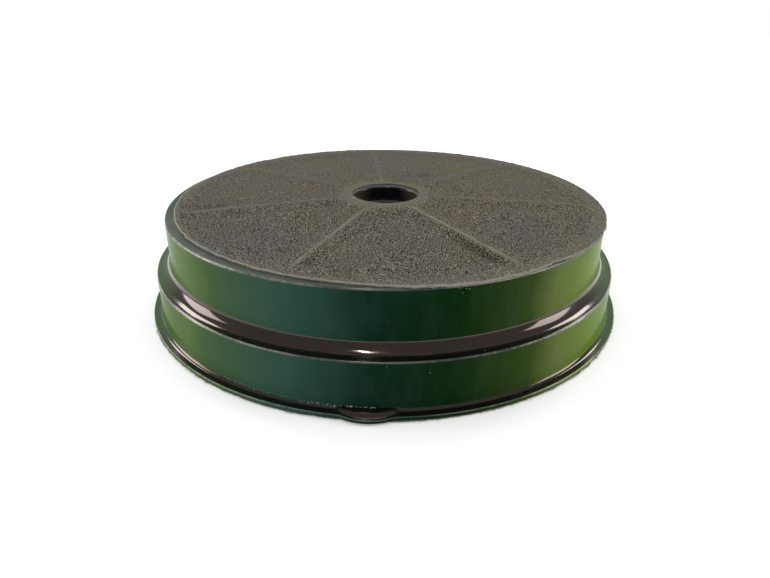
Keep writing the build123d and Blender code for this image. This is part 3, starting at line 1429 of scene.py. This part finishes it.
    def shape(self, vert: BMVert, weld_layer: BMLayerItem, pale_layer: BMLayerItem) -> None:
        """Move a vertex of the flat ring to its place on the laid fleece.

        Args:
            vert: The vertex, which is moved.
            weld_layer: Gets how far the felt is pressed there, from 0 to 1.
            pale_layer: Gets how far clean fibres show there, from 0 to 1.
        """
        flat_x, flat_y, level = vert.co
        housing, low = self.housing, self.hole_radius
        land, lip = housing.land_radius, housing.lip_inner_radius
        angle = atan2(flat_y, flat_x)
        share = (hypot(flat_x, flat_y) - low) / (housing.upper_top_radius - low)
        edge = self.reach(angle) + self.ragged(angle)
        outer = mix(self.reach(angle), edge, smoothstep(1.0 - self.rim_share, 1.0, share))
        at_hole = smoothstep(self.rim_share, 0.0, share)
        inner = low + ragged_edge(angle, self.hole_ripples) * at_hole
        x = mix(inner * cos(angle) + self.hole_shift[0], outer * cos(angle), share)
        y = mix(inner * sin(angle) + self.hole_shift[1], outer * sin(angle), share)
        radius = hypot(x, y)

        inside = self.inside_field(x, y)
        top = self.top_height(x, y)
        spoke = abs(housing.spokes.offset(x, y))
        mark = self.weld_marks[housing.spokes.nearest(x, y)]
        crest = self.crest(x, y)
        cut = smoothstep(self.cut_width, 0.0, abs(radius - edge))
        fluff = cut * ragged_edge(angle, self.fluff_ripples, self.cut_fluff)
        droop = self.hang(radius)
        loose = smoothstep(*self.thick_slope, inside)
        thick = mix(self.weld_thickness, self.thickness, loose)
        bottom = top - thick
        if inside < 0:
            bottom = self.weld_surface(radius) - self.weld_thickness
        vert.co = (x, y, mix(bottom - droop, top + fluff - droop, level))
        hub_weld = smoothstep(*(land + step for step in self.hub_weld_slope), radius)
        hub_weld *= 0.85 + 0.2 * waves(x, y, 6.0, 9.0)
        lip_weld = smoothstep(*(lip + step for step in self.lip_weld_slope), radius)
        lip_weld *= self.lip_weld_share
        spoke_weld = (0.1 + 0.5 * mark) * smoothstep(*self.spoke_weld_slope, spoke)
        vert[weld_layer] = max(hub_weld, lip_weld, spoke_weld)
        bright_cut = cut * (0.6 + 0.5 * cos(angle - self.bright_cut_angle))
        vert[pale_layer] = clamp(max(bright_cut, 0.5 * crest))

    def ragged(self, angle: float) -> float:
        """Return how far the cut edge stands out from the outline at an angle."""
        return ragged_edge(angle, self.ripples)

    def hang(self, radius: float) -> float:
        """Return how far the fleece hangs down past the lip's round at a radius."""
        over = max(0.0, radius - (self.housing.upper_top_radius - self.housing.lip_round))
        return self.droop * over**2

    def edge_point(self, angle: float) -> Vector:
        """Find the middle of the cut edge.

        Args:
            angle: Angle in radians.

        Returns:
            The place in millimetres.
        """
        radius = self.reach(angle) + self.ragged(angle)
        height = self.weld_surface(radius) - self.weld_thickness / 2
        height -= self.hang(radius)
        return Vector((radius * cos(angle), radius * sin(angle), height))


@dataclass
class LowerFleece:
    """The fleece welded under the flange, the spokes and the hub."""

    housing: Housing
    press: float = 0.3
    thickness: float = 2.0
    radius: float = 116.1
    hole_radius: float = 17.5
    hub_radius: float = 19.2
    field_radius: float = 109.5
    weld_strip: float = 2.8
    weld_blend: float = 4.0
    stand_out: float = 0.1
    ripples: tuple[tuple[float, float, float], ...] = (
        (0.3, 11.0, 30), (0.3, 12.0, 140), (0.25, 13.0, 420),
    )

    steps: int = 720
    under_rings: int = 90
    upper_rings: int = 20

    def build(self) -> None:
        """Build the fleece as one piece and dress it."""
        mesh = bmesh.new()
        low, high = self.hole_radius, self.radius
        under = [
            (mix(low, high, index / self.under_rings), 0.0)
            for index in range(self.under_rings + 1)
        ]
        top = [
            (mix(high, low, index / self.upper_rings), 1.0)
            for index in range(self.upper_rings + 1)
        ]
        loop = [*under, (high + 0.25, 0.5), *top]
        outline = draw_loop(mesh, [(radius, height, 0.0) for radius, height in loop])
        spin_full(mesh, outline, self.steps)
        weld_layer = mesh.verts.layers.float.new("weld")
        pale_layer = mesh.verts.layers.float.new("pale")
        for vert in mesh.verts:
            self.shape(vert, weld_layer, pale_layer)
        bmesh.ops.recalc_face_normals(mesh, faces=mesh.faces)
        piece = finish_mesh(mesh, "bottom_fleece_felt", ["bottom_fleece"], 75.0)
        piece.data.materials.append(NeedledFleece(name="needled_fleece_lower").material())

    def shape(self, vert: BMVert, weld_layer: BMLayerItem, pale_layer: BMLayerItem) -> None:
        """Move a vertex of the flat ring to its place on the welded fleece.

        Args:
            vert: The vertex, which is moved.
            weld_layer: Gets how far the felt is pressed there, from 0 to 1.
            pale_layer: Gets how far clean fibres show there, from 0 to 1.
        """
        x, y, level = vert.co
        angle = atan2(y, x)
        radius = hypot(x, y)
        share = (radius - self.hole_radius) / (self.radius - self.hole_radius)
        radius += self.ragged(angle) * smoothstep(0.96, 1.0, share)
        x, y = radius * cos(angle), radius * sin(angle)
        from_spoke = abs(self.housing.spokes.offset(x, y)) - self.weld_strip / 2
        near = soft_min(from_spoke, radius - self.hub_radius, self.weld_blend)
        inside = soft_min(near, self.field_radius - radius, self.weld_blend)
        in_field = smoothstep(-0.3, 3.5, inside)
        bottom = mix(self.press, 0.06, in_field)
        bottom += 0.05 * waves(x, y, 2.4, 15.0) * (0.4 + 0.6 * in_field)
        top = mix(self.housing.flange_underside, self.thickness, smoothstep(0.0, 1.0, inside))
        height = mix(bottom, top, level)
        vert.co = (x, y, max(0.0, height))
        vert[weld_layer] = 0.6 * (1.0 - smoothstep(-0.4, 1.6, inside))
        vert[pale_layer] = 0.4 * smoothstep(0.99, 1.0, share)

    def ragged(self, angle: float) -> float:
        """Return how far the cut edge stands out from the outline at an angle."""
        return ragged_edge(angle, self.ripples, self.stand_out)

    def edge_point(self, angle: float) -> Vector:
        """Return the foot of the cut edge at an angle, in millimetres."""
        radius = self.radius + self.ragged(angle)
        return Vector((radius * cos(angle), radius * sin(angle), 0.0))


# Loose stuff ------------------------------------------------------------------------------


@dataclass(frozen=True)
class Tuft:
    """A small clump of fluff on the upper fleece."""

    x: float
    y: float
    spread: float
    count: int


@dataclass
class LooseFibres:
    """Fibre ends at the fleeces' cut edges, and those that lie on the felt."""

    upper: UpperFleece
    lower: LowerFleece
    upper_count: int = 420
    lower_count: int = 620
    felt_count: int = 700
    shortest: float = 0.4
    longest: float = 1.5
    # About three times as thick as a real fibre, so that it can be seen at all
    half_width: float = 0.06
    # Fibres are drawn in batches, since a large mesh slows every new cone down
    batch: int = 60
    tufts: tuple[Tuft, ...] = (
        Tuft(-15.6, -7.8, 1.2, 14), Tuft(-12.4, -12.7, 1.3, 16), Tuft(-16.5, -17.3, 0.9, 10),
        Tuft(23.0, 99.8, 1.1, 16), Tuft(42.0, -93.5, 3.0, 26), Tuft(45.5, -92.5, 2.5, 20),
    )

    def build(self) -> None:
        """Build the fibres as one piece and dress it."""
        picker = random.Random(SEED)
        roots = self.edge_roots(picker) + self.felt_roots(picker)
        mesh = bmesh.new()
        for first in range(0, len(roots), self.batch):
            part = bmesh.new()
            for start, way in roots[first : first + self.batch]:
                self.add_fibre(part, picker, start, way)
            join_mesh(mesh, part)
        for vert in mesh.verts:
            vert.co.z = max(vert.co.z, 0.0)
        piece = finish_mesh(mesh, "loose_fibres", [])
        piece.data.materials.append(PaleFluff().material())

    def edge_roots(self, picker: random.Random) -> list[tuple[Vector, Vector]]:
        """Find the fibres at both fleeces' cut edges.

        Args:
            picker: The seeded source of random numbers.

        Returns:
            The root and the direction of each.
        """
        roots = []
        for fleece, count, rise, lift in (
            (self.upper, self.upper_count, (-0.3, 0.4), 0.5),
            (self.lower, self.lower_count, (0.15, 0.7), 0.2),
        ):
            for _ in range(count):
                angle = picker.uniform(0, 2 * pi)
                start = fleece.edge_point(angle)
                start.z += picker.uniform(*rise)
                roots.append((start, self.outward(picker, angle, lift)))
        return roots

    def felt_roots(self, picker: random.Random) -> list[tuple[Vector, Vector]]:
        """Find the fibres that lie on the felt.

        Args:
            picker: The seeded source of random numbers.

        Returns:
            The root and the direction of each.
        """
        places = []
        housing = self.upper.housing
        inner, outer = housing.land_radius, housing.lip_inner_radius
        for _ in range(self.felt_count):
            angle = picker.uniform(0, 2 * pi)
            radius = sqrt(picker.uniform(inner**2, outer**2))
            places.append((radius * cos(angle), radius * sin(angle)))
        for tuft in self.tufts:
            for _ in range(tuft.count):
                x = picker.gauss(tuft.x, tuft.spread / 2)
                y = picker.gauss(tuft.y, tuft.spread / 2)
                places.append((x, y))
        roots = []
        for x, y in places:
            start = Vector((x, y, self.upper.top_height(x, y) + self.half_width))
            roots.append((start, self.outward(picker, picker.uniform(0, 2 * pi), 0.2)))
        return roots

    def outward(self, picker: random.Random, angle: float, lift: float) -> Vector:
        """Return a direction that points outwards with a random slant.

        Args:
            picker: The seeded source of random numbers.
            angle: The angle round the axis in radians.
            lift: The most that it points up or down.

        Returns:
            The direction.
        """
        slant = angle + picker.gauss(0, 0.7)
        return Vector((cos(slant), sin(slant), picker.uniform(-lift, lift)))

    def add_fibre(
        self, mesh: BMesh, picker: random.Random, start: Vector, way: Vector,
    ) -> None:
        """Add one bent fibre.

        Args:
            mesh: The mesh that gets it.
            picker: The seeded source of random numbers.
            start: Where it starts, in millimetres.
            way: The direction that it leaves in.
        """
        length = picker.uniform(self.shortest, self.longest)
        for radius in (self.half_width, 0.7 * self.half_width):
            part = way.normalized() * length / 2
            place = Matrix.Translation(start + part / 2)
            turn = part.to_track_quat("Z", "X").to_matrix().to_4x4()
            bmesh.ops.create_cone(
                mesh, cap_ends=True, cap_tris=False, segments=3, radius1=radius,
                radius2=0.6 * radius, depth=1.1 * part.length, matrix=place @ turn,
            )
            start = start + part
            way = part.normalized() + Vector(
                (picker.gauss(0, 0.5), picker.gauss(0, 0.5), picker.gauss(0, 0.2))
            )


@dataclass(frozen=True)
class Fleck:
    """A pale fleck on a wall: its angle in degrees, height and radius in millimetres."""

    angle: float
    height: float
    radius: float


@dataclass(frozen=True)
class CreaseSpeckRow:
    """Pale specks in a row along the crease: how many, between which angles and radii, degrees
    and mm.
    """

    count: int
    angles: tuple[float, float]
    radii: tuple[float, float]


@dataclass
class Flecks:
    """Pale flecks on the walls, rows of pale specks along the crease and crumbs on the
    shoulder.
    """

    housing: Housing
    upper_wall: tuple[Fleck, ...] = (
        Fleck(284.2, 46.4, 0.22), Fleck(284.9, 44.4, 0.2), Fleck(285.6, 46.0, 0.16),
        Fleck(286.3, 45.6, 0.24), Fleck(287.4, 46.2, 0.16),
    )
    lower_wall: tuple[Fleck, ...] = (
        Fleck(270.5, 20.9, 0.2), Fleck(278.3, 17.8, 0.22), Fleck(281.3, 14.9, 0.16),
        Fleck(267.6, 12.4, 0.18),
    )
    crease_rows: tuple[CreaseSpeckRow, ...] = (
        CreaseSpeckRow(60, (255.5, 268.5), (0.12, 0.26)), CreaseSpeckRow(55, (219.0, 255.5), (0.09, 0.17)),
    )
    ledge_count: int = 34

    def build(self) -> None:
        """Build the flecks as one piece and dress it."""
        mesh = bmesh.new()
        picker = random.Random(SEED + 1)
        for fleck in self.upper_wall:
            self.add_fleck(mesh, picker, self.housing.upper_top_radius, fleck)
        for fleck in self.lower_wall:
            self.add_fleck(mesh, picker, self.housing.lower_top_radius, fleck)
        for row in self.crease_rows:
            for _ in range(row.count):
                angle = picker.uniform(*row.angles)
                radius = self.housing.lower_foot_radius + picker.uniform(0.15, 0.6)
                height = self.housing.crease_height(radius, angle) + 0.05
                self.add_fleck(
                    mesh, picker, radius, Fleck(angle, height, picker.uniform(*row.radii))
                )
        for _ in range(self.ledge_count):
            angle = picker.uniform(0.0, 360.0)
            radius = self.housing.lower_top_radius - picker.uniform(1.2, 2.8)
            height = self.housing.shoulder_height + 0.08
            self.add_fleck(
                mesh, picker, radius, Fleck(angle, height, picker.uniform(0.08, 0.18))
            )
        piece = finish_mesh(mesh, "dust_flecks", [])
        piece.data.materials.append(PaleFluff(name="settled_pale_dust").material())

    def add_fleck(
        self, mesh: BMesh, picker: random.Random, radius: float, fleck: Fleck,
    ) -> None:
        """Add one fleck.

        Args:
            mesh: The mesh that gets it.
            picker: The seeded source of random numbers.
            radius: Its distance from the axis in millimetres.
            fleck: Its place and size.
        """
        angle = radians(fleck.angle)
        place = Matrix.Translation((radius * cos(angle), radius * sin(angle), fleck.height))
        shape = Matrix.Diagonal(
            (picker.uniform(0.6, 1.4), picker.uniform(0.6, 1.4), picker.uniform(0.5, 1.0), 1.0)
        )
        bmesh.ops.create_icosphere(
            mesh, subdivisions=1, radius=fleck.radius, matrix=place @ shape
        )


# Granules ---------------------------------------------------------------------------------


@dataclass
class CarbonBeds:
    """The fills of granules, which keep their CAD solids between the two fleeces."""

    count: int = 7

    def dress(self) -> None:
        """Give every bed its granule finish."""
        granules = CarbonGranules().material()
        for number in range(1, self.count + 1):
            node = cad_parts[f"carbon_bed_{number}"]
            node.data.materials.clear()
            node.data.materials.append(granules)
        log.info("carbon beds: %d", self.count)


# The studio -------------------------------------------------------------------------------


@dataclass
class Studio:
    """White floor and backdrop, soft lamps and the photograph's camera."""

    focal_px: float = 560.0
    camera_place: tuple[float, float, float] = (0.0, -0.2738, 0.1310)
    pitch: float = 26.32
    yaw: float = 0.07
    roll: float = -0.41
    floor_size: float = 8.0
    world_strength: float = 0.42

    def build(self) -> None:
        """Set up the floor, the world, the lamps and the camera."""
        self.add_floor()
        self.set_world()
        self.add_lamp("top_softbox", (0.0, 0.3, 1.1), (0.5, 0.5), 1.2)
        self.add_lamp("front_strip", (-0.12, -0.45, 0.95), (0.04, 0.24), 2.0)
        self.add_lamp("left_softbox", (-0.95, 0.12, 0.34), (0.38, 0.5), 3.2)
        self.add_lamp("right_softbox", (0.95, -0.1, 0.34), (0.38, 0.5), 3.2)
        self.add_lamp("back_left_softbox", (-0.6, 0.58, 0.66), (0.3, 0.25), 1.8)
        self.add_lamp("back_right_softbox", (0.6, 0.58, 0.66), (0.3, 0.25), 1.8)
        self.add_camera()

    def add_floor(self) -> None:
        """Lay the white paper that the filter lies on."""
        mesh = bmesh.new()
        bmesh.ops.create_grid(mesh, x_segments=1, y_segments=1, size=self.floor_size / 2)
        data = bpy.data.meshes.new("floor")
        mesh.to_mesh(data)
        mesh.free()
        floor = bpy.data.objects.new("floor", data)
        bpy.context.scene.collection.objects.link(floor)
        data.materials.append(StudioFloor().material())

    def set_world(self) -> None:
        """Make the surroundings white to the camera and soft to everything else."""
        world = bpy.data.worlds.new("studio_world")
        bpy.context.scene.world = world
        world.use_nodes = True
        tree = world.node_tree
        tree.nodes.clear()
        rays = add_node(tree, "LightPath").node.outputs
        seen = add_node(
            tree, "Math", {0: rays["Is Camera Ray"], 1: rays["Is Transmission Ray"]},
            operation="ADD", use_clamp=True,
        )
        strength = add_node(
            tree, "MapRange", {"Value": seen, **sockets(3, self.world_strength, 1.0)}
        )
        back = add_node(
            tree, "Background", {"Strength": strength, "Color": (1.0, 1.0, 1.0, 1.0)}
        )
        add_node(tree, "OutputWorld", {"Surface": back})

    def add_lamp(
        self, name: str, place: tuple[float, float, float], size: tuple[float, float],
        power: float,
    ) -> None:
        """Add one soft rectangular lamp that points at the filter.

        Args:
            name: The lamp's name.
            place: Where it hangs, in metres.
            size: Its width and height in metres.
            power: Its power in watts.
        """
        data = bpy.data.lights.new(name, "AREA")
        data.shape = "RECTANGLE"
        data.size, data.size_y = size
        data.energy = power
        lamp = bpy.data.objects.new(name, data)
        lamp.location = place
        aim = Vector((0.0, 0.0, 0.03)) - Vector(place)
        lamp.rotation_euler = aim.to_track_quat("-Z", "Y").to_euler()
        bpy.context.scene.collection.objects.link(lamp)

    def add_camera(self) -> None:
        """Set the camera to the photograph's place and field of view."""
        data = bpy.data.cameras.new("camera")
        data.sensor_fit = "HORIZONTAL"
        data.sensor_width = 36.0
        data.lens = self.focal_px * data.sensor_width / IMAGE_WIDTH
        data.clip_start = 0.01
        data.clip_end = 50.0
        camera = bpy.data.objects.new("camera", data)
        camera.location = self.camera_place
        turn = Euler((radians(90 - self.pitch), 0.0, radians(-self.yaw)), "XYZ")
        spin = Matrix.Rotation(radians(-self.roll), 4, "Z")
        camera.rotation_euler = (turn.to_matrix().to_4x4() @ spin).to_euler()
        bpy.context.scene.collection.objects.link(camera)
        bpy.context.scene.camera = camera


def main() -> None:
    """Build the studio and every piece of the filter."""
    logging.basicConfig(level=logging.INFO, format="%(message)s")
    random.seed(SEED)
    bpy.context.scene.view_settings.view_transform = "Standard"
    Studio().build()
    housing = Housing()
    upper, lower = UpperFleece(housing), LowerFleece(housing)
    for part in (housing, upper, lower, LooseFibres(upper, lower), Flecks(housing)):
        part.build()
    CarbonBeds().dress()


if __name__ == "__main__":
    main()
